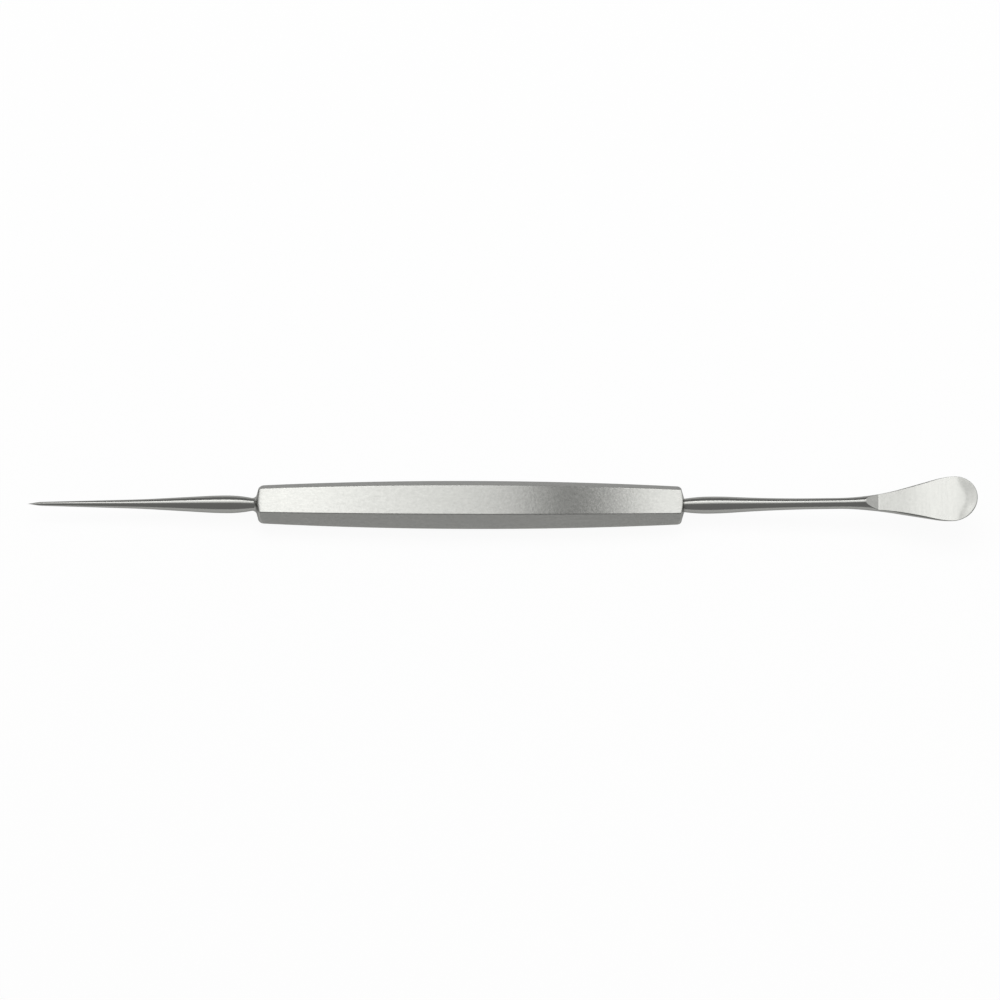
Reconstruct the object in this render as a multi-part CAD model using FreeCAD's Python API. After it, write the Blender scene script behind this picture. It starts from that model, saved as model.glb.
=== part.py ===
import FreeCAD, Part

import math
import os

# Ophthalmic spoon and needle, one piece of stainless steel. All sizes are in millimetres.
# +X runs along the instrument towards the spoon and +Z is up as it lies.
# The origin is the middle of the lower wide flat of the handle, the face that it rests on.

# Handle: six flats ground on a bar, each straight in the middle and bowed to the turned ends
handle_length = 56.3
handle_width = 6.87
handle_thickness = 4.2
end_width = 5.43
end_thickness = 3.2
flat_land = 16.0
wide_flat_fall = 1.0
narrow_flat_fall = 0.6
narrow_flat_lean = 57.0
end_corner_reach = 0.4
end_corner_slope = 12.0
needle_end_slope = 75.0
spoon_end_slope = 74.0

# Needle: a point, a slim taper, a flare and a swelling, then the neck at the handle
needle_length = 31.0
point_length = 1.55
point_diameter = 0.52
point_blend = 0.5
flare_distance = 15.6
flare_diameter = 1.27
flare_blend = 2.0
needle_bulge_distance = 4.25
needle_bulge_diameter = 2.37
needle_bulge_front = 1.45
needle_bulge_back = 1.5
needle_neck_diameter = 1.55
needle_neck_blend = 0.5

# Shaft: a sharp-cornered neck at the handle, a swelling and a waist, on an axis that rises a little
shaft_rise = 2.6
shaft_neck_distance = 0.3
shaft_neck_diameter = 1.74
shaft_bulge_distance = 3.8
shaft_bulge_diameter = 2.28
shaft_bulge_back = 1.7
shaft_bulge_front = 1.65
shaft_waist_distance = 18.45
shaft_waist_diameter = 1.465
shaft_waist_blend = 5.8

# Blade: elliptical sections that widen from the waist on a spine that bends up, and a round toe
blade_bend_distance = 27.65
blade_bend_blend = 2.5
blade_rise = 11.0
blade_flare_distance = 25.05
blade_flare_angle = 13.4
blade_flare_blend = 4.0
blade_shoulder_blend = 1.4
bowl_distance = 36.45
bowl_width = 6.34
bowl_depth = 1.24
throat_depth = 1.96
toe_length = 3.45
section_count = 12

# Ground front of the blade: a flat with a concave throat, and the shallow hollow of the bowl
throat_distance = 26.7
throat_height = 0.28
throat_radius = 2.5
throat_wall_slope = 70.0
bowl_front_height = 0.22
hollow_setback = 1.7
hollow_length = 9.0
hollow_width = 4.9
hollow_depth = 0.15

# How far a tool runs past what it cuts, and the gap below which two points are one
overrun = 1.0
same_point = 1e-6

half_length = handle_length / 2
axis_height = handle_thickness / 2
blank_radius = handle_width / 2 + overrun
origin = FreeCAD.Vector(0, 0, 0)
lengthwise = FreeCAD.Vector(1, 0, 0)
crosswise = FreeCAD.Vector(0, 1, 0)


def point(along, across, up):
    """A point given along the instrument, across it and above the handle's axis."""
    return FreeCAD.Vector(along, across, axis_height + up)


def fitted(corners, reaches):
    """The reach of each corner's arc, shortened where two arcs overrun the straight between them."""
    fitting = list(reaches)
    for index, (before, after) in enumerate(zip(corners, corners[1:])):
        run = before.distanceToPoint(after)
        wanted = fitting[index] + fitting[index + 1]
        if wanted > run:
            fitting[index] *= run / wanted
            fitting[index + 1] *= run / wanted
    return fitting


def chain(corners, reaches):
    """Edges of straight runs through the corners, each corner with a tangent arc of its reach."""
    edges = []
    last = corners[0]
    inner_reaches = fitted(corners, reaches)[1:-1]
    for before, corner, after, reach in zip(corners, corners[1:], corners[2:], inner_reaches):
        arrive = (corner - before).normalize()
        leave = (after - corner).normalize()
        start = corner - arrive * reach
        end = corner + leave * reach
        if start.distanceToPoint(last) > same_point:
            edges.append(Part.LineSegment(last, start).toShape())
        if reach > 0:
            rise = reach * math.tan(arrive.getAngle(leave) / 4)
            middle = corner + (leave - arrive).normalize() * rise
            edges.append(Part.Arc(start, middle, end).toShape())
        last = end
    if last.distanceToPoint(corners[-1]) > same_point:
        edges.append(Part.LineSegment(last, corners[-1]).toShape())
    return edges


def turned(profile):
    """A solid turned about the handle's axis. Each corner has its place, radius and arc's reach."""
    corners = [point(along, 0, radius) for along, radius, reach in profile]
    edges = chain(corners, [reach for along, radius, reach in profile])
    edges.append(Part.LineSegment(corners[-1], corners[0]).toShape())
    return Part.Face(Part.Wire(edges)).revolve(point(0, 0, 0), lengthwise, 360)


def bowed_bar(middle, end, fall, lean):
    """A wide bar, leaned about its axis, with two opposite faces that fall in bows from flat lands."""
    run = half_length - flat_land / 2
    drop = middle - end
    fall_sine = math.sin(math.radians(fall))
    fall_cosine = math.cos(math.radians(fall))
    bow_radius = (run ** 2 + drop ** 2) / (2 * (drop * fall_cosine - run * fall_sine))
    bar_end = half_length + needle_bulge_distance + overrun

    def corner(along, side):
        past = abs(along) - flat_land / 2 + bow_radius * fall_sine
        height = middle - bow_radius * fall_cosine + math.sqrt(bow_radius ** 2 - past ** 2)
        return point(along, -blank_radius, side * height)

    edges = []
    for side in (1, -1):
        outer = side * bar_end
        inner = side * flat_land / 2
        between = (outer + inner) / 2
        first_bow = Part.Arc(corner(-outer, side), corner(-between, side), corner(-inner, side))
        land = Part.LineSegment(corner(-inner, side), corner(inner, side))
        last_bow = Part.Arc(corner(inner, side), corner(between, side), corner(outer, side))
        bar_side = Part.LineSegment(corner(outer, side), corner(outer, -side))
        edges += [first_bow.toShape(), land.toShape(), last_bow.toShape(), bar_side.toShape()]
    solid = Part.Face(Part.Wire(edges)).extrude(crosswise * 2 * blank_radius)
    solid.rotate(point(0, 0, 0), lengthwise, lean)
    return solid


def ramp(run, reach):
    """Nothing before a corner and its run after it, with a parabola of the given reach between."""
    if run <= -reach:
        return 0.0
    if run >= reach:
        return run
    return (run + reach) ** 2 / (4 * reach)


# Bar: three bowed bars crossed
lean_sine = math.sin(math.radians(narrow_flat_lean))
narrow_middle = handle_width / 2 * lean_sine
narrow_end = end_width / 2 * lean_sine
bar = bowed_bar(handle_thickness / 2, end_thickness / 2, wide_flat_fall, 0)
for lean in (narrow_flat_lean, -narrow_flat_lean):
    bar = bar.common(bowed_bar(narrow_middle, narrow_end, narrow_flat_fall, lean))

# Handle: the bar turned down to its two sloping ends, with rounded corners, and to the back of
# the needle's swelling
needle_end = -half_length
needle_end_cone = 1 / math.tan(math.radians(needle_end_slope))
spoon_end_cone = 1 / math.tan(math.radians(spoon_end_slope))
end_radius = end_width / 2
corner_run = (blank_radius - end_radius) / math.tan(math.radians(end_corner_slope))
needle_bulge_radius = needle_bulge_diameter / 2
needle_neck_radius = needle_neck_diameter / 2
needle_bulge_top = needle_end - needle_bulge_distance
needle_neck = needle_end - (end_radius - needle_neck_radius) * needle_end_cone
handle = bar.common(turned([
    (needle_bulge_top, 0, 0),
    (needle_bulge_top, needle_bulge_radius, 0),
    (needle_bulge_top + needle_bulge_back, needle_bulge_radius, needle_bulge_back),
    (needle_neck, needle_neck_radius, needle_neck_blend),
    (needle_end, end_radius, end_corner_reach),
    (needle_end + corner_run, blank_radius, 0),
    (half_length - corner_run, blank_radius, 0),
    (half_length, end_radius, end_corner_reach),
    (half_length + end_radius * spoon_end_cone, 0, 0),
]))

# Needle
needle_tip = needle_end - needle_length
needle = turned([
    (needle_tip, 0, 0),
    (needle_tip + point_length, point_diameter / 2, point_blend),
    (needle_end - flare_distance, flare_diameter / 2, flare_blend),
    (needle_bulge_top - needle_bulge_front, needle_bulge_radius, needle_bulge_front),
    (needle_bulge_top, needle_bulge_radius, 0),
    (needle_bulge_top, 0, 0),
])

# Shaft, from inside the handle to its waist
shaft_neck_radius = shaft_neck_diameter / 2
shaft_bulge_radius = shaft_bulge_diameter / 2
waist_radius = shaft_waist_diameter / 2
shaft_bulge_top = half_length + shaft_bulge_distance
waist = half_length + shaft_waist_distance
shaft = turned([
    (half_length - shaft_neck_distance, 0, 0),
    (half_length - shaft_neck_distance, shaft_neck_radius, 0),
    (half_length + shaft_neck_distance, shaft_neck_radius, 0),
    (shaft_bulge_top - shaft_bulge_back, shaft_bulge_radius, shaft_bulge_back),
    (shaft_bulge_top + shaft_bulge_front, shaft_bulge_radius, shaft_bulge_front),
    (waist - shaft_waist_blend, waist_radius, shaft_waist_blend),
    (waist, waist_radius, 0),
    (waist, 0, 0),
])
shaft.rotate(point(half_length, 0, 0), crosswise, -shaft_rise)

# Blade: the shaft's waist drawn out into wide sections
bowl_radius = bowl_width / 2
flare_slope = math.tan(math.radians(blade_flare_angle))
shoulder_distance = blade_flare_distance + (bowl_radius - waist_radius) / flare_slope


def half_width(distance):
    """Half the width of the section at a distance along the spine."""
    flare = ramp(distance - blade_flare_distance, blade_flare_blend)
    shoulder = ramp(distance - shoulder_distance, blade_shoulder_blend)
    return waist_radius + flare_slope * (flare - shoulder)


def half_depth(distance):
    """Half the depth of the section: round as far as the throat, then thinner to the bowl."""
    share = (distance - blade_flare_distance) / (bowl_distance - blade_flare_distance)
    taper = (throat_depth + share * (bowl_depth - throat_depth)) / 2
    return min(half_width(distance), taper)


def spine(distance, height=0.0):
    """The spine's point at a distance from the handle's end, or one at a height straight above."""
    bent = ramp(distance - blade_bend_distance, blade_bend_blend)
    shaft_angle = math.radians(shaft_rise)
    bend_angle = math.radians(blade_rise - shaft_rise)
    along = half_length + distance * math.cos(shaft_angle)
    return point(along, 0, distance * math.sin(shaft_angle) + bent * math.sin(bend_angle) + height)


def spine_rise(distance):
    """The spine's rise in degrees at a distance from the handle's end."""
    bent_share = (distance - blade_bend_distance + blade_bend_blend) / (2 * blade_bend_blend)
    return shaft_rise + (blade_rise - shaft_rise) * max(0.0, min(1.0, bent_share))


def section(distance):
    """The elliptical outline of the blade at a distance along the spine."""
    ellipse = Part.Ellipse(origin, half_width(distance), half_depth(distance))
    outline = Part.Wire([ellipse.toShape()])
    outline.rotate(origin, FreeCAD.Vector(1, 1, 1), 120)
    outline.rotate(origin, crosswise, -spine_rise(distance))
    outline.translate(spine(distance))
    return outline


section_step = (bowl_distance - shaft_waist_distance) / (section_count - 1)
sections = [section(shaft_waist_distance + index * section_step) for index in range(section_count)]
flare = Part.makeLoft(sections, True, False)

# Toe: a half ball stretched to the last section's width and depth and to the toe's own length
stretch = FreeCAD.Matrix()
stretch.scale(toe_length, half_width(bowl_distance), half_depth(bowl_distance))
toe = Part.makeSphere(1, origin, lengthwise, 0, 90, 360).transformGeometry(stretch)
toe.rotate(origin, crosswise, -spine_rise(bowl_distance))
toe.translate(spine(bowl_distance))

# Front: one flat ground from the toe to the throat, where the tool leaves on a concave arc
throat_foot = spine(throat_distance, throat_height)
bowl_front = spine(bowl_distance, bowl_front_height)
front_run = (bowl_front - throat_foot).normalize()
front_up = FreeCAD.Rotation(crosswise, -90).multVec(front_run)
throat_wall = FreeCAD.Rotation(crosswise, throat_wall_slope).multVec(-front_run)
throat_reach = throat_radius * math.tan(math.radians(throat_wall_slope / 2))
throat_corner = throat_foot - front_run * throat_reach
front_end = bowl_front + front_run * (toe_length + overrun)
tool_height = throat_radius + throat_depth
front_outline = chain([
    front_end,
    throat_corner,
    throat_corner + throat_wall * tool_height,
    front_end + front_up * tool_height,
    front_end,
], [0, throat_reach, 0, 0, 0])
front_tool = Part.Face(Part.Wire(front_outline)).extrude(crosswise * 2 * blank_radius)
front_tool.translate(crosswise * -blank_radius)

# Hollow: a shallow oval bowl, left by the rim of a ring with one radius along and one across
across_radius = hollow_width ** 2 / (8 * hollow_depth) + hollow_depth / 2
along_radius = hollow_length ** 2 / (8 * hollow_depth) + hollow_depth / 2
hollow_center = bowl_front - front_run * hollow_setback
ring_center = hollow_center + front_up * (along_radius - hollow_depth)
ring = Part.makeTorus(along_radius - across_radius, across_radius, ring_center, crosswise)
hollow_tool = ring.common(Part.makeSphere(hollow_length / 2 + overrun, hollow_center))
blade = flare.fuse(toe).cut(front_tool).cut(hollow_tool)

# One piece of steel
instrument = handle.multiFuse([needle, shaft, blade]).removeSplitter()
os.makedirs("parts", exist_ok=True)
instrument.exportStep("parts/spoon_and_needle.step")
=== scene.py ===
import math

import bpy
import numpy as np
from mathutils import Matrix, Vector


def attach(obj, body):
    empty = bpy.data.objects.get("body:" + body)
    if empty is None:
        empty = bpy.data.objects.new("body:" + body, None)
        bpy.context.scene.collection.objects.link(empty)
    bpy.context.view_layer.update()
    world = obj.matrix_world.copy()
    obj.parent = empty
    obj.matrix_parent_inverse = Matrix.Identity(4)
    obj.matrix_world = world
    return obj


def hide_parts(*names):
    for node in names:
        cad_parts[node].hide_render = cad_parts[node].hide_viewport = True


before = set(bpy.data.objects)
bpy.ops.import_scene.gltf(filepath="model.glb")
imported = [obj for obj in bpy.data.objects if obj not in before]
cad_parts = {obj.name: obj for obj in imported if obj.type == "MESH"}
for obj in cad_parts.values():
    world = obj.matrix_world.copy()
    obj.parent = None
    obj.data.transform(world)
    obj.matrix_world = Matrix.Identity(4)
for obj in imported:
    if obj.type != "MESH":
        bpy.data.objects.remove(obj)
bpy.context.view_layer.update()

# The instrument's looks. One fine skin over the solid's own sizes replaces it for the eye, so that
# the bowed flats, the turned ends and the blade reflect smoothly. Sizes are in millimetres until
# the mesh is made, in the solid's own frame: +X towards the spoon, +Z up as it lies.
to_metres = 0.001

# Handle
axis_height = 2.1
half_length = 28.15
middle_half_width = 3.432
end_half_width = 2.715
middle_half_thickness = 2.1
end_half_thickness = 1.6
narrow_flat_lean = math.radians(57.0)
needle_end_slope = math.radians(75.0)
spoon_end_slope = math.radians(74.0)
needle_end_cone = 1 / math.tan(needle_end_slope)
spoon_end_cone = 1 / math.tan(spoon_end_slope)

# How far the handle's rounded edges reach. At its turned ends the reach grows towards the corners.
long_edge_reach = 0.07
needle_end_edge_reach = 0.3
spoon_end_edge_reach = 0.12
end_corner_growth = 0.3
end_corner_inner = 2.25
neck_edge_reach = 0.04

# Needle, from its point to the neck: place, radius and the reach of the corner's arc
needle_neck_radius = 0.775
needle_neck = -half_length - (end_half_width - needle_neck_radius) * needle_end_cone
needle_corners = [
    (-59.15, 0.0, 0.0),
    (-57.60, 0.26, 0.5),
    (-43.75, 0.635, 2.0),
    (-33.85, 1.185, 1.45),
    (-30.90, 1.185, 1.5),
    (needle_neck, needle_neck_radius, 0.55),
    (-half_length, end_half_width, 0.0),
]

# Shaft, from inside the handle's end to the waist, by distance from that end on its own axis
shaft_rise = math.radians(2.6)
waist_distance = 18.45
waist_radius = 0.7325
shaft_corners = [
    (0.30, 0.87, 0.0),
    (2.10, 1.14, 1.7),
    (5.45, 1.14, 1.65),
    (12.65, waist_radius, 5.8),
    (waist_distance, waist_radius, 0.0),
]

# Blade
blade_bend_distance = 27.65
blade_bend_blend = 2.5
blade_rise = math.radians(11.0)
blade_flare_distance = 25.05
blade_flare_slope = math.tan(math.radians(13.4))
blade_flare_blend = 4.0
blade_shoulder_blend = 1.4
bowl_distance = 36.45
bowl_half_width = 3.17
bowl_depth = 1.24
toe_length = 3.3
blade_edge_reach = 0.05
blade_edge_share = 0.25

# Ground front and its throat
throat_depth = 1.96
throat_distance = 26.5
throat_height = 0.28
throat_radius = 0.05
throat_wall = math.radians(28.0)
bowl_front_height = 0.22

# Hollow of the front. Runs are measured along the front from the middle of the bowl. The curl's
# start and end are shares of the way from the middle to the rim.
hollow_slope = 0.045
hollow_heel = -6.5
hollow_steepest = -1.4
hollow_foot = 1.7
curl_heel = 0.4
curl_full = 3.2
curl_start = 0.45
curl_end = 1.05

# How many steps the skin has on each flat, corner and run
wide_flat_steps = 10
narrow_flat_steps = 12
corner_steps = 4
arc_steps = 12
handle_rows = 120
cone_rows = 8
edge_rows = 6
front_columns = 41
front_edge_columns = 3
throat_rows = 40
bowl_rows = 70
toe_rows = 44
tip_rows = 14
longest_step = 0.45
throat_foot_length = 0.6
throat_foot_gap = 0.02

# How often a search is repeated, the lengths that count as nothing, and a quarter of a turn
fit_repeats = 30
halvings = 60
tiny = 1e-7
same_place = 1e-5
least_length = 1e-20
quarter = math.pi / 2


def unit(vector):
    """The vector at a length of one."""
    return vector / np.linalg.norm(vector)


def rounded_line(corners, with_last_run=True):
    """Points along straight runs through the corners, with a tangent arc at each inner corner."""
    places = [np.array(corner[:2], dtype=float) for corner in corners]
    reaches = [corner[2] for corner in corners]
    for index in range(len(places) - 1):
        run = np.linalg.norm(places[index + 1] - places[index])
        wanted = reaches[index] + reaches[index + 1]
        if wanted > run:
            reaches[index] *= run / wanted
            reaches[index + 1] *= run / wanted
    points = [places[0]]

    def walk(target):
        start = points[-1]
        length = np.linalg.norm(target - start)
        if length > tiny:
            steps = max(1, math.ceil(length / longest_step))
            points.extend(start + (target - start) * step / steps for step in range(1, steps + 1))

    for before, corner, after, reach in zip(places, places[1:], places[2:], reaches[1:]):
        arrive = unit(corner - before)
        leave = unit(after - corner)
        start = corner - arrive * reach
        walk(start)
        turn = math.acos(float(np.clip(arrive @ leave, -1, 1)))
        if reach > 0 and turn > tiny:
            radius = reach / math.tan(turn / 2)
            inward = unit(leave - arrive * (arrive @ leave))
            for step in range(1, arc_steps + 1):
                angle = turn * step / arc_steps
                offset = math.sin(angle) * arrive + (1 - math.cos(angle)) * inward
                points.append(start + radius * offset)
    if with_last_run:
        walk(places[-1])
    return np.array(points)


def curve(start, corner, end, share):
    """A point on the soft curve that rounds a corner between two points."""
    return (1 - share) ** 2 * start + 2 * share * (1 - share) * corner + share ** 2 * end


def bar_outline(half_width, half_thickness):
    """The handle's six-sided section for a half width and height, from the top round past +Y."""
    lean = np.array([-math.cos(narrow_flat_lean), math.sin(narrow_flat_lean)])
    side = np.array([half_width, 0.0])
    top = np.array([half_width - half_thickness / math.tan(narrow_flat_lean), half_thickness])
    flip = np.array([1.0, -1.0])
    level = np.array([1.0, 0.0])
    stops = [
        (np.array([0.0, half_thickness]), None, wide_flat_steps),
        (top - level * long_edge_reach, top, corner_steps),
        (top - lean * long_edge_reach, None, narrow_flat_steps),
        (side + lean * long_edge_reach, side, corner_steps),
        (side + lean * flip * long_edge_reach, None, narrow_flat_steps),
        ((top - lean * long_edge_reach) * flip, top * flip, corner_steps),
        ((top - level * long_edge_reach) * flip, None, wide_flat_steps),
    ]
    ends = [stop[0] for stop in stops[1:]] + [np.array([0.0, -half_thickness])]
    half = []
    for (start, corner, steps), end in zip(stops, ends):
        for step in range(steps):
            share = step / steps
            if corner is None:
                half.append(start + (end - start) * share)
            else:
                half.append(curve(start, corner, end, share))
    other_half = [point * [-1, 1] for point in reversed(half[1:])]
    return np.array(half + [ends[-1]] + other_half)


outline_base = bar_outline(0.0, 0.0)
outline_per_width = bar_outline(1.0, 0.0) - outline_base
outline_per_thickness = bar_outline(0.0, 1.0) - outline_base
ring_count = len(outline_base)
column_count = ring_count + 1 + front_columns + 2 * front_edge_columns


def bar_points(along):
    """Each column's point on the bowed handle, at that column's own place along it."""
    bow = (along / half_length) ** 2
    half_width = middle_half_width - (middle_half_width - end_half_width) * bow
    half_thickness = middle_half_thickness - (middle_half_thickness - end_half_thickness) * bow
    wider = outline_per_width * half_width[:, None]
    thicker = outline_per_thickness * half_thickness[:, None]
    return np.column_stack([along, outline_base + wider + thicker])


def off_axis(points):
    """Each point's distance from the handle's axis."""
    return np.hypot(points[:, 1], points[:, 2])


def azimuths(points):
    """Each point's angle about the handle's axis, from the top."""
    return np.arctan2(points[:, 1], points[:, 2])


def end_corners(side, cone):
    """Where each column of the bowed handle meets the cone that turns its end."""
    along = np.full(ring_count, side * half_length)
    for repeat in range(fit_repeats):
        along = side * (half_length - (off_axis(bar_points(along)) - end_half_width) * cone)
    return along


def end_reach(corner, flat_reach):
    """How far each column's rounded end reaches: more towards the corners than on the flats."""
    share = (off_axis(corner) - end_corner_inner) / (end_half_width - end_corner_inner)
    share = np.clip(share, 0, 1)
    return flat_reach + end_corner_growth * share ** 2 * (3 - 2 * share)


def on_cone(side, cone, radius, angle):
    """Points on the cone of one end, at each column's radius and angle."""
    along = side * (half_length - (radius - end_half_width) * cone)
    return np.column_stack([along, radius * np.sin(angle), radius * np.cos(angle)])


def turned_ring(along, radius, angle):
    """A ring of points about the handle's axis."""
    place = np.full(ring_count, along)
    return np.column_stack([place, radius * np.sin(angle), radius * np.cos(angle)])


def tilted(points):
    """Points of the shaft, given from the handle's end on its own axis, set at the shaft's rise."""
    along = half_length + points[:, 0] * math.cos(shaft_rise) - points[:, 2] * math.sin(shaft_rise)
    up = points[:, 0] * math.sin(shaft_rise) + points[:, 2] * math.cos(shaft_rise)
    return np.column_stack([along, points[:, 1], up])


# Every row has a point in each column. Its kind gives the look of the faces that lead up to it.
rows = []
row_kinds = []


def add_row(ring, kind):
    """Keeps one closed ring. Its front columns all lie on its top point."""
    rows.append(np.vstack([ring, np.repeat(ring[:1], column_count - ring_count, axis=0)]))
    row_kinds.append(kind)


# Handle's own columns, between the cones that turn its ends
needle_side = end_corners(-1, needle_end_cone)
spoon_side = end_corners(1, spoon_end_cone)
needle_side_corner = bar_points(needle_side)
spoon_side_corner = bar_points(spoon_side)
needle_side_reach = end_reach(needle_side_corner, needle_end_edge_reach)
spoon_side_reach = end_reach(spoon_side_corner, spoon_end_edge_reach)
needle_angles = azimuths(needle_side_corner)
spoon_angles = azimuths(spoon_side_corner)

# Needle and the neck behind it
for along, radius in rounded_line(needle_corners, with_last_run=False):
    add_row(turned_ring(along, radius, needle_angles), "turned")

# Cone of the handle's needle end, and its rounded edge
neck_radius = float(off_axis(rows[-1])[0])
edge_radius = off_axis(needle_side_corner) - needle_side_reach * math.sin(needle_end_slope)
for step in range(1, cone_rows + 1):
    radius = neck_radius + (edge_radius - neck_radius) * step / cone_rows
    add_row(on_cone(-1, needle_end_cone, radius, needle_angles), "turned")
edge_start = rows[-1][:ring_count]
edge_end = bar_points(needle_side + needle_side_reach)
for step in range(1, edge_rows + 1):
    add_row(curve(edge_start, needle_side_corner, edge_end, step / edge_rows), "handle")

# Handle's flats
flats_start = needle_side + needle_side_reach
flats_end = spoon_side - spoon_side_reach
for step in range(1, handle_rows + 1):
    add_row(bar_points(flats_start + (flats_end - flats_start) * step / handle_rows), "handle")

# Shaft's line on its own axis
shaft_line = rounded_line(shaft_corners)


def shaft_points(distance):
    """Each column's point on the shaft at its own distance along the shaft's axis."""
    radius = np.interp(distance, shaft_line[:, 0], shaft_line[:, 1])
    ring = np.column_stack([distance, radius * np.sin(spoon_angles), radius * np.cos(spoon_angles)])
    return tilted(ring)


# Where each column of the shaft leaves the handle's end
first_guess = 0.6
leave_distance = np.full(ring_count, first_guess)
for repeat in range(fit_repeats):
    leaving = shaft_points(leave_distance)
    cone_place = half_length - (off_axis(leaving) - end_half_width) * spoon_end_cone
    leave_distance += cone_place - leaving[:, 0]
shaft_corner = shaft_points(leave_distance)

# Rounded edge and cone of the handle's spoon end, down to the shaft
edge_start = rows[-1][:ring_count]
edge_radius = off_axis(spoon_side_corner) - spoon_side_reach * math.sin(spoon_end_slope)
edge_end = on_cone(1, spoon_end_cone, edge_radius, spoon_angles)
for step in range(1, edge_rows + 1):
    add_row(curve(edge_start, spoon_side_corner, edge_end, step / edge_rows), "handle")
neck_radius = off_axis(shaft_corner) + neck_edge_reach
neck_turn = azimuths(shaft_corner) - spoon_angles
neck_turn = np.arctan2(np.sin(neck_turn), np.cos(neck_turn))
for step in range(1, cone_rows + 1):
    share = step / cone_rows
    radius = edge_radius + (neck_radius - edge_radius) * share
    add_row(on_cone(1, spoon_end_cone, radius, spoon_angles + neck_turn * share), "turned")
edge_start = rows[-1][:ring_count]
edge_end = shaft_points(leave_distance + neck_edge_reach)
for step in range(1, edge_rows + 1):
    add_row(curve(edge_start, shaft_corner, edge_end, step / edge_rows), "turned")

# Shaft as far as its waist
first_free = float(leave_distance.max()) + 2 * neck_edge_reach
for distance, radius in shaft_line:
    if distance > first_free:
        add_row(shaft_points(np.full(ring_count, distance)), "turned")


# Blade
def ramp(run, reach):
    """Nothing before a corner, the run itself past it, and a parabola of this reach between."""
    if run <= -reach:
        return 0.0
    if run >= reach:
        return run
    return (run + reach) ** 2 / (4 * reach)


shoulder_distance = blade_flare_distance + (bowl_half_width - waist_radius) / blade_flare_slope


def section_half_width(distance):
    """Half the width of the section at a distance along the spine."""
    flare = ramp(distance - blade_flare_distance, blade_flare_blend)
    shoulder = ramp(distance - shoulder_distance, blade_shoulder_blend)
    return waist_radius + blade_flare_slope * (flare - shoulder)


def section_half_depth(distance):
    """Half the depth of the section: round as far as the throat, then thinner to the bowl."""
    share = (distance - blade_flare_distance) / (bowl_distance - blade_flare_distance)
    taper = (throat_depth + share * (bowl_depth - throat_depth)) / 2
    return min(section_half_width(distance), taper)


def spine(distance, height=0.0):
    """The spine's place along and up, at a distance from the handle's end."""
    bent = ramp(distance - blade_bend_distance, blade_bend_blend)
    along = half_length + distance * math.cos(shaft_rise)
    up = distance * math.sin(shaft_rise) + bent * math.sin(blade_rise - shaft_rise)
    return np.array([along, up + height])


def spine_rise(distance):
    """The spine's rise at a distance from the handle's end."""
    share = (distance - blade_bend_distance + blade_bend_blend) / (2 * blade_bend_blend)
    return shaft_rise + (blade_rise - shaft_rise) * max(0.0, min(1.0, share))


class Section:
    """One elliptical section of the blade: its middle, its lean and its half sizes."""

    def __init__(self, distance):
        reach = min(distance, bowl_distance)
        self.rise = spine_rise(reach)
        self.middle = spine(reach)
        past = max(0.0, distance - bowl_distance)
        self.middle = self.middle + past * np.array([math.cos(self.rise), math.sin(self.rise)])
        shrink = math.sqrt(max(0.0, 1 - (past / toe_length) ** 2))
        self.half_width = section_half_width(reach) * shrink
        self.half_depth = section_half_depth(reach) * shrink

    def at(self, across, height):
        """The point of the section's plane across and above its middle."""
        along = self.middle[0] - height * math.sin(self.rise)
        up = self.middle[1] + height * math.cos(self.rise)
        return np.array([along, across, up])

    def rim(self, angle):
        """The point of the ellipse at an angle from its top."""
        return self.at(self.half_width * math.sin(angle), self.half_depth * math.cos(angle))

    def reach_at(self, height):
        """How far the ellipse reaches to the side at a height."""
        return self.half_width * math.sqrt(max(0.0, 1 - (height / self.half_depth) ** 2))


throat_foot = spine(throat_distance, throat_height)
bowl_front = spine(bowl_distance, bowl_front_height)
front_run = unit(bowl_front - throat_foot)
front_up = np.array([-front_run[1], front_run[0]])
arc_run = throat_radius * math.sin(throat_wall)
arc_rise = throat_radius * (1 - math.cos(throat_wall))


def front_gap(section, height):
    """How far a height in the section's plane stands above the ground front and its throat."""
    place = section.at(0.0, height)
    offset = np.array([place[0], place[2]]) - throat_foot
    run = float(offset @ front_run)
    if run >= 0:
        ground = 0.0
    elif run > -arc_run:
        ground = throat_radius - math.sqrt(throat_radius ** 2 - run ** 2)
    else:
        ground = arc_rise + (-arc_run - run) * math.tan(throat_wall)
    return float(offset @ front_up) - ground


def front_height(section):
    """The height of the front in the section's plane."""
    low = -section.half_depth
    high = section.half_depth
    for repeat in range(halvings):
        middle = (low + high) / 2
        if front_gap(section, middle) < 0:
            low = middle
        else:
            high = middle
    return (low + high) / 2


def is_cut(distance):
    """Whether the section at a distance is cut by the front."""
    section = Section(distance)
    return section.half_depth > tiny and front_gap(section, section.half_depth) > 0


def first_change(start, end):
    """The distance between the two at which the front begins or stops cutting the section."""
    cut_at_start = is_cut(start)
    for repeat in range(halvings):
        middle = (start + end) / 2
        if is_cut(middle) == cut_at_start:
            start = middle
        else:
            end = middle
    return (start + end) / 2


def eased(value, low, high):
    """Nothing below the low value, one above the high value, with a soft step between."""
    share = min(1.0, max(0.0, (value - low) / (high - low)))
    return share * share * (3 - 2 * share)


def dip(run):
    """How far the front has sunk: slowly faster from the heel, then level again at the foot."""
    first = min(1.0, max(0.0, (run - hollow_heel) / (hollow_steepest - hollow_heel)))
    second = min(1.0, max(0.0, (run - hollow_steepest) / (hollow_foot - hollow_steepest)))
    sunk_first = (hollow_steepest - hollow_heel) * first ** 2 / 2
    sunk_second = (hollow_foot - hollow_steepest) * (second - second ** 2 / 2)
    return hollow_slope * (sunk_first + sunk_second)


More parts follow.
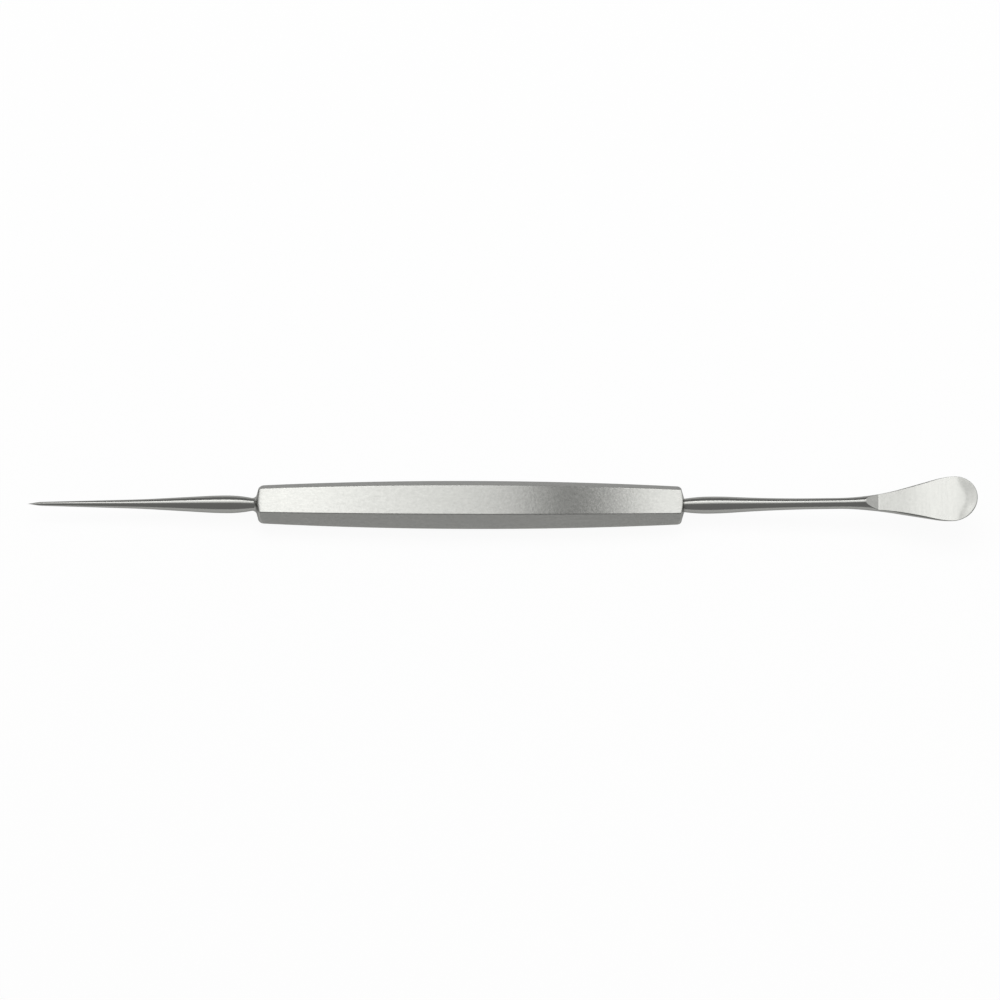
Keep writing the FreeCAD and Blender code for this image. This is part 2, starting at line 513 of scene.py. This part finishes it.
def hollow(section, side, height):
    """How deep the hollow is at a point of the front. It curls up again at the toe."""
    place = section.at(0.0, height)
    offset = np.array([place[0], place[2]]) - bowl_front
    run = float(offset @ front_run)
    spread = math.hypot(max(0.0, run) / toe_length, side / bowl_half_width)
    curl = eased(run, curl_heel, curl_full) * eased(spread, curl_start, curl_end)
    return dip(run) * (1 - curl)


# The ring's angles on the blade, from the top round past +Y. One more closes the ring at the top.
ring_angles = np.append(np.mod(spoon_angles, 2 * math.pi), 2 * math.pi)
ring_angles[0] = 0.0
mirrored = np.minimum(ring_angles, 2 * math.pi - ring_angles)


def closed_ring(section):
    """A whole elliptical section."""
    return np.array([section.rim(angle) for angle in ring_angles[:ring_count]])


def add_open_row(section):
    """A section cut by the front: the ellipse below it, two rounded edges and the front."""
    top = front_height(section)
    height = top - hollow(section, section.reach_at(top), top)
    across = section.reach_at(height)
    reach = min(blade_edge_reach, blade_edge_share * across)
    cut_angle = math.acos(min(1.0, height / section.half_depth))
    arc_per_angle = math.hypot(
        section.half_width * math.cos(cut_angle), section.half_depth * math.sin(cut_angle)
    )
    start_angle = cut_angle + reach / max(arc_per_angle, tiny)
    upper = start_angle + mirrored * (quarter - start_angle) / quarter
    inner = np.where(mirrored < quarter, upper, mirrored)
    angles = np.where(ring_angles <= math.pi, inner, 2 * math.pi - inner)
    outer = [section.rim(angle) for angle in angles]
    sides = -(across - reach) * np.cos(np.linspace(0, math.pi, front_columns))
    front = [section.at(side, top - hollow(section, side, top)) for side in sides]
    shares = [(step + 1) / (front_edge_columns + 1) for step in range(front_edge_columns)]
    left = [curve(outer[-1], section.at(-across, height), front[0], share) for share in shares]
    right = [curve(front[-1], section.at(across, height), outer[0], share) for share in shares]
    rows.append(np.array(outer + left + front + right))
    row_kinds.append("blade")


# Shaft from its waist to where the throat begins
clear_of_waist = 3.0
throat_start = first_change(waist_distance + clear_of_waist, throat_distance)
toe_end = first_change(bowl_distance, bowl_distance + toe_length)
blade_start = float(shaft_line[-1, 0])
plain_rows = math.ceil((throat_start - blade_start) / (longest_step / 2))
for step in range(1, plain_rows + 1):
    distance = blade_start + (throat_start - blade_start) * step / plain_rows
    add_row(closed_ring(Section(distance)), "turned")

# The front opens quickly at the throat, so the rows there start close together. They close up
# again at its foot, where the front turns sharply.
foot_gaps = (
    -arc_run - throat_foot_gap,
    -arc_run,
    -arc_run / 2,
    0.0,
    throat_foot_gap,
    throat_foot_length / 2,
    throat_foot_length,
)
foot_start = throat_distance + foot_gaps[0]
for step in range(1, throat_rows):
    share = (step / throat_rows) ** 2
    add_open_row(Section(throat_start + (foot_start - throat_start) * share))
for gap in foot_gaps:
    add_open_row(Section(throat_distance + gap))

# Bowl and toe
bowl_start = throat_distance + throat_foot_length
for step in range(1, bowl_rows + 1):
    add_open_row(Section(bowl_start + (bowl_distance - bowl_start) * step / bowl_rows))
for step in range(1, toe_rows):
    share = math.sin(quarter * step / toe_rows)
    add_open_row(Section(bowl_distance + (toe_end - bowl_distance) * share))

# Past the front the toe closes to its tip
last_angle = math.asin(min(1.0, (toe_end - bowl_distance) / toe_length))
for step in range(tip_rows + 1):
    angle = last_angle + (quarter - last_angle) * step / tip_rows
    ring = closed_ring(Section(bowl_distance + toe_length * math.sin(angle)))
    add_row(ring, "turned")

# Skin: the rows become one mesh, with points that coincide made one
grid = np.array(rows)
row_count = len(grid)
flat_grid = grid.reshape(-1, 3)
keys = np.round(flat_grid / same_place).astype(np.int64)
_, first_uses, vertex_of = np.unique(keys, axis=0, return_index=True, return_inverse=True)
vertex_of = vertex_of.reshape(row_count, column_count)
vertices = flat_grid[first_uses] + [0.0, 0.0, axis_height]

# The map runs along the instrument one way and round it the other, ring first and front after it
ring_share = 0.72
along_steps = np.linalg.norm(np.diff(grid[:, ring_count // 2], axis=0), axis=1)
along_share = np.append(0.0, np.cumsum(along_steps)) / along_steps.sum()
column_share = np.concatenate([
    np.linspace(0, ring_share, ring_count + 1),
    np.linspace(ring_share, 1, column_count - ring_count)[1:],
    [1.0],
])

handle_look, turned_look, front_look = 0, 1, 2
faces = []
looks = []
corners_uv = []
for row in range(row_count - 1):
    near_front = "blade" in (row_kinds[row], row_kinds[row + 1])
    for column in range(column_count):
        following = (column + 1) % column_count
        quad = [
            (vertex_of[row, column], along_share[row], column_share[column]),
            (vertex_of[row, following], along_share[row], column_share[column + 1]),
            (vertex_of[row + 1, following], along_share[row + 1], column_share[column + 1]),
            (vertex_of[row + 1, column], along_share[row + 1], column_share[column]),
        ]
        kept = [quad[index] for index in range(4) if quad[index][0] != quad[index - 1][0]]
        if len({corner[0] for corner in kept}) < 3:
            continue
        faces.append([int(corner[0]) for corner in kept])
        corners_uv.extend((corner[1], corner[2]) for corner in kept)
        if row_kinds[row + 1] == "handle":
            looks.append(handle_look)
        elif near_front and column >= ring_count:
            looks.append(front_look)
        else:
            looks.append(turned_look)

mesh = bpy.data.meshes.new("steel_body")
mesh.from_pydata((vertices * to_metres).tolist(), [], faces)
mesh.update()
body = bpy.data.objects.new("steel_body", mesh)
bpy.context.collection.objects.link(body)
uv_map = mesh.uv_layers.new(name="OFBake")
uv_map.data.foreach_set("uv", np.array(corners_uv, dtype=np.float32).ravel())
mesh.polygons.foreach_set("material_index", np.array(looks, dtype=np.int32))
mesh.polygons.foreach_set("use_smooth", np.ones(len(faces), dtype=bool))

# Each vertex's normal leans to its large faces, so that flats stay flat beside their small edges
face_count = len(mesh.polygons)
face_normals = np.empty(face_count * 3)
face_areas = np.empty(face_count)
mesh.polygons.foreach_get("normal", face_normals)
mesh.polygons.foreach_get("area", face_areas)
weighted = face_normals.reshape(-1, 3) * face_areas[:, None]
loop_totals = np.array([len(face) for face in faces])
loop_faces = np.repeat(np.arange(face_count), loop_totals)
loop_vertices = np.concatenate([np.array(face) for face in faces])
vertex_normals = np.zeros_like(vertices)
np.add.at(vertex_normals, loop_vertices, weighted[loop_faces])
lengths = np.linalg.norm(vertex_normals, axis=1)
vertex_normals /= np.maximum(lengths, least_length)[:, None]
mesh.normals_split_custom_set_from_vertices(vertex_normals.tolist())


# Materials
def grey(level):
    """A grey with full cover."""
    return (level, level, level, 1.0)


def add_node(tree, kind, values=None):
    """A new node, with the values of its inputs by name."""
    node = tree.nodes.new(kind)
    for name, value in (values or {}).items():
        node.inputs[name].default_value = value
    return node


def map_range(tree, value, low, high, first, last):
    """A node that takes a socket's values from one range to another. Gives its output."""
    ranges = {"From Min": low, "From Max": high, "To Min": first, "To Max": last}
    node = add_node(tree, "ShaderNodeMapRange", ranges)
    tree.links.new(value, node.inputs["Value"])
    return node.outputs["Result"]


def calculate(tree, operation, first, second):
    """A math node on two sockets, or on a socket and a number. Gives its output."""
    node = tree.nodes.new("ShaderNodeMath")
    node.operation = operation
    tree.links.new(first, node.inputs[0])
    if isinstance(second, float):
        node.inputs[1].default_value = second
    else:
        tree.links.new(second, node.inputs[1])
    return node.outputs["Value"]


def bare_material(name):
    """A new material with no nodes."""
    material = bpy.data.materials.new(name)
    material.use_nodes = True
    material.node_tree.nodes.clear()
    return material


def show_surface(tree, shader):
    """Makes a shader node the surface of a bare material."""
    surface = tree.nodes.new("ShaderNodeOutputMaterial")
    tree.links.new(shader.outputs[0], surface.inputs["Surface"])


steel_colour = (0.44, 0.442, 0.422)
grazing_tint = 0.7
line_detail = 3.0
line_roughness = 0.6
grain_scale = 2800.0
grain_detail = 2.0
grain_share = 0.55
noise_low = 0.3
noise_high = 0.7
roughness_spread = 0.1
relief_depth = 0.00001


def steel_material(
    name, roughness, anisotropy, turn, lines_scale, line_strength, grain_strength, mottle
):
    """Satin steel with fine brush lines and a grain that mottles its colour and roughness."""
    material = bpy.data.materials.new(name)
    material.use_nodes = True
    tree = material.node_tree
    shader = tree.nodes["Principled BSDF"]
    shader.inputs["Metallic"].default_value = 1.0
    shader.inputs["Anisotropic"].default_value = anisotropy
    shader.inputs["Anisotropic Rotation"].default_value = turn
    shader.inputs["Specular Tint"].default_value = grey(grazing_tint)

    place = add_node(tree, "ShaderNodeTexCoord")
    stretch = add_node(tree, "ShaderNodeMapping", {"Scale": lines_scale})
    line_values = {"Scale": 1.0, "Detail": line_detail, "Roughness": line_roughness}
    lines = add_node(tree, "ShaderNodeTexNoise", line_values)
    grain = add_node(tree, "ShaderNodeTexNoise", {"Scale": grain_scale, "Detail": grain_detail})
    tree.links.new(place.outputs["Object"], stretch.inputs["Vector"])
    tree.links.new(stretch.outputs["Vector"], lines.inputs["Vector"])
    tree.links.new(place.outputs["Object"], grain.inputs["Vector"])

    together = add_node(tree, "ShaderNodeMix", {"Factor": grain_share})
    tree.links.new(lines.outputs["Fac"], together.inputs["A"])
    tree.links.new(grain.outputs["Fac"], together.inputs["B"])
    contrast = map_range(tree, together.outputs["Result"], noise_low, noise_high, 0.0, 1.0)
    colour = tree.nodes.new("ShaderNodeMix")
    colour.data_type = "RGBA"
    colour.inputs["A"].default_value = (*[part * (1 - mottle) for part in steel_colour], 1.0)
    colour.inputs["B"].default_value = (*[part * (1 + mottle) for part in steel_colour], 1.0)
    tree.links.new(contrast, colour.inputs["Factor"])
    tree.links.new(colour.outputs["Result"], shader.inputs["Base Color"])

    smoothest = roughness * (1 - roughness_spread)
    roughest = roughness * (1 + roughness_spread)
    dullness = map_range(tree, grain.outputs["Fac"], 0.0, 1.0, smoothest, roughest)
    tree.links.new(dullness, shader.inputs["Roughness"])

    relief = add_node(tree, "ShaderNodeBump", {"Strength": line_strength, "Distance": relief_depth})
    tree.links.new(lines.outputs["Fac"], relief.inputs["Height"])
    if grain_strength > 0:
        pit_values = {"Strength": grain_strength, "Distance": relief_depth}
        pits = add_node(tree, "ShaderNodeBump", pit_values)
        tree.links.new(grain.outputs["Fac"], pits.inputs["Height"])
        tree.links.new(pits.outputs["Normal"], relief.inputs["Normal"])
    tree.links.new(relief.outputs["Normal"], shader.inputs["Normal"])

    tangent = tree.nodes.new("ShaderNodeTangent")
    tangent.direction_type = "UV_MAP"
    tangent.uv_map = "OFBake"
    tree.links.new(tangent.outputs["Tangent"], shader.inputs["Tangent"])
    return material


# The looks in the order of their numbers: the roughness, the anisotropy and its turn, the scale of
# the lines along each axis, how strongly the lines and the grain stand out, and how far the colour
# wanders
steel_looks = [
    ("steel_handle", 0.18, 1.0, 0.25, (1100, 4300, 4300), 0.12, 0.16, 0.10),
    ("steel_turned", 0.21, 0.9, 0.0, (3000, 300, 300), 0.004, 0.0, 0.015),
    ("steel_blade", 0.18, 0.5, 0.0, (2800, 300, 400), 0.06, 0.05, 0.07),
]
for look in steel_looks:
    mesh.materials.append(steel_material(*look))
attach(body, "root")
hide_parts("spoon_and_needle")


# Stage, in metres
def flat_sheet(name, low, high, height):
    """A level rectangle of the stage."""
    sheet = bpy.data.meshes.new(name)
    outline = [(low[0], low[1]), (high[0], low[1]), (high[0], high[1]), (low[0], high[1])]
    sheet.from_pydata([(x, y, height) for x, y in outline], [], [(0, 1, 2, 3)])
    thing = bpy.data.objects.new(name, sheet)
    bpy.context.collection.objects.link(thing)
    return thing


# Floor: pale paint that keeps the shadow. The camera sees it mixed with plain white, and the steel
# reflects it with a smaller share of that white.
floor_reach = 3.0
floor_paint = 0.85
floor_white = 1.06
camera_share = 0.88
mirror_share = 0.4
floor = flat_sheet("floor", (-floor_reach, -floor_reach), (floor_reach, floor_reach), 0.0)
floor_look = bare_material("floor_white")
tree = floor_look.node_tree
paint = add_node(tree, "ShaderNodeBsdfDiffuse", {"Color": grey(floor_paint)})
glow = add_node(tree, "ShaderNodeEmission", {"Color": grey(1.0), "Strength": floor_white})
path = tree.nodes.new("ShaderNodeLightPath").outputs
in_mirror = calculate(tree, "MAXIMUM", path["Is Glossy Ray"], path["Is Transmission Ray"])
to_mirror = calculate(tree, "MULTIPLY", in_mirror, mirror_share)
to_camera = calculate(tree, "MULTIPLY", path["Is Camera Ray"], camera_share)
white_share = calculate(tree, "MAXIMUM", to_camera, to_mirror)
blend = tree.nodes.new("ShaderNodeMixShader")
tree.links.new(white_share, blend.inputs["Fac"])
tree.links.new(paint.outputs[0], blend.inputs[1])
tree.links.new(glow.outputs[0], blend.inputs[2])
show_surface(tree, blend)
floor.data.materials.append(floor_look)

# Softbox: a level sheet of light above and behind, with its levels along X. The spoon's face shows
# the part from -0.3 to -0.05, and the handle that from -0.09 to 0.08, with its dark band.
box_low = -0.45
box_high = 0.8
box_height = 0.6
box_depth = 0.54
brightest = 2.9
box_levels = [
    (-0.450, 1.50),
    (-0.350, 1.60),
    (-0.260, 1.50),
    (-0.200, 1.40),
    (-0.160, 1.20),
    (-0.115, 1.15),
    (-0.105, 1.75),
    (-0.095, 2.55),
    (-0.085, 2.50),
    (-0.070, 2.50),
    (-0.055, 2.28),
    (-0.040, 2.00),
    (-0.025, 1.88),
    (-0.010, 1.76),
    (0.000, 1.58),
    (0.010, 1.50),
    (0.020, 1.26),
    (0.027, 0.70),
    (0.034, 0.15),
    (0.041, 0.30),
    (0.048, 0.58),
    (0.055, 0.78),
    (0.062, 1.50),
    (0.070, 2.30),
    (0.080, 2.30),
    (0.100, 1.70),
    (0.180, 1.60),
    (0.240, 0.90),
    (0.800, 0.85),
]
# It is dimmer at its near edge, and brighter at its far edge, which only the round parts show
near_dim, near_full, near_share = 0.04, 0.20, 0.4
far_plain, far_full, far_share = 0.32, 0.46, 1.8
softbox = flat_sheet("softbox", (box_low, 0.0), (box_high, box_depth), box_height)
softbox.visible_camera = False
box_look = bare_material("softbox_light")
tree = box_look.node_tree
place = add_node(tree, "ShaderNodeTexCoord")
split = add_node(tree, "ShaderNodeSeparateXYZ")
tree.links.new(place.outputs["Object"], split.inputs["Vector"])
along = map_range(tree, split.outputs["X"], box_low, box_high, 0.0, 1.0)
level = tree.nodes.new("ShaderNodeValToRGB")
level.color_ramp.interpolation = "LINEAR"
stops = level.color_ramp.elements
not_placed = 0.5
while len(stops) < len(box_levels):
    stops.new(not_placed)
for stop, (along_box, strength) in zip(stops, box_levels):
    stop.position = (along_box - box_low) / (box_high - box_low)
    stop.color = grey(strength / brightest)
tree.links.new(along, level.inputs["Fac"])
dimmest = brightest * near_share
near = map_range(tree, split.outputs["Y"], near_dim, near_full, dimmest, brightest)
far = map_range(tree, split.outputs["Y"], far_plain, far_full, 1.0, far_share)
glow = tree.nodes.new("ShaderNodeEmission")
tree.links.new(level.outputs["Color"], glow.inputs["Color"])
tree.links.new(calculate(tree, "MULTIPLY", near, far), glow.inputs["Strength"])
show_surface(tree, glow)
softbox.data.materials.append(box_look)

# Fill: a weaker upright sheet of light to the right, which the throat and the handle's end show
fill_place = 0.8
fill_front, fill_back = -0.2, 0.54
fill_low, fill_high = 0.02, 0.6
fill_level = 0.9
fill_outline = [
    (fill_place, fill_front, fill_low),
    (fill_place, fill_back, fill_low),
    (fill_place, fill_back, fill_high),
    (fill_place, fill_front, fill_high),
]
fill = bpy.data.meshes.new("fill")
fill.from_pydata(fill_outline, [], [(0, 1, 2, 3)])
fill_sheet = bpy.data.objects.new("fill", fill)
bpy.context.collection.objects.link(fill_sheet)
fill_sheet.visible_camera = False
fill_look = bare_material("fill_light")
tree = fill_look.node_tree
show_surface(tree, add_node(tree, "ShaderNodeEmission", {"Color": grey(fill_level)}))
fill.materials.append(fill_look)

# World: an even grey
world_level = 0.25
world = bpy.data.worlds.new("studio")
bpy.context.scene.world = world
world.use_nodes = True
background = world.node_tree.nodes["Background"]
background.inputs["Color"].default_value = grey(world_level)
background.inputs["Strength"].default_value = 1.0

# Camera: it looks along +Y and down, with a trace of roll
camera_target = Vector((0.00402, 0.000632, 0.00233))
camera_distance = 1.5
camera_elevation = math.radians(70.0)
camera_roll = math.radians(0.15)
frame_width = 0.1338
sensor_width = 36.0
camera_data = bpy.data.cameras.new("camera")
camera_data.sensor_width = sensor_width
camera_data.lens = sensor_width * camera_distance / frame_width
camera = bpy.data.objects.new("camera", camera_data)
bpy.context.collection.objects.link(camera)
right = Vector((1, 0, 0))
upward = Vector((0, math.sin(camera_elevation), math.cos(camera_elevation)))
backward = Vector((0, -math.cos(camera_elevation), math.sin(camera_elevation)))
rolled_right = right * math.cos(camera_roll) + upward * math.sin(camera_roll)
rolled_up = upward * math.cos(camera_roll) - right * math.sin(camera_roll)
camera.matrix_world = Matrix((
    (rolled_right.x, rolled_up.x, backward.x, 0),
    (rolled_right.y, rolled_up.y, backward.y, 0),
    (rolled_right.z, rolled_up.z, backward.z, 0),
    (0, 0, 0, 1),
))
camera.location = camera_target + backward * camera_distance
bpy.context.scene.camera = camera
bpy.context.scene.view_settings.view_transform = "Standard"
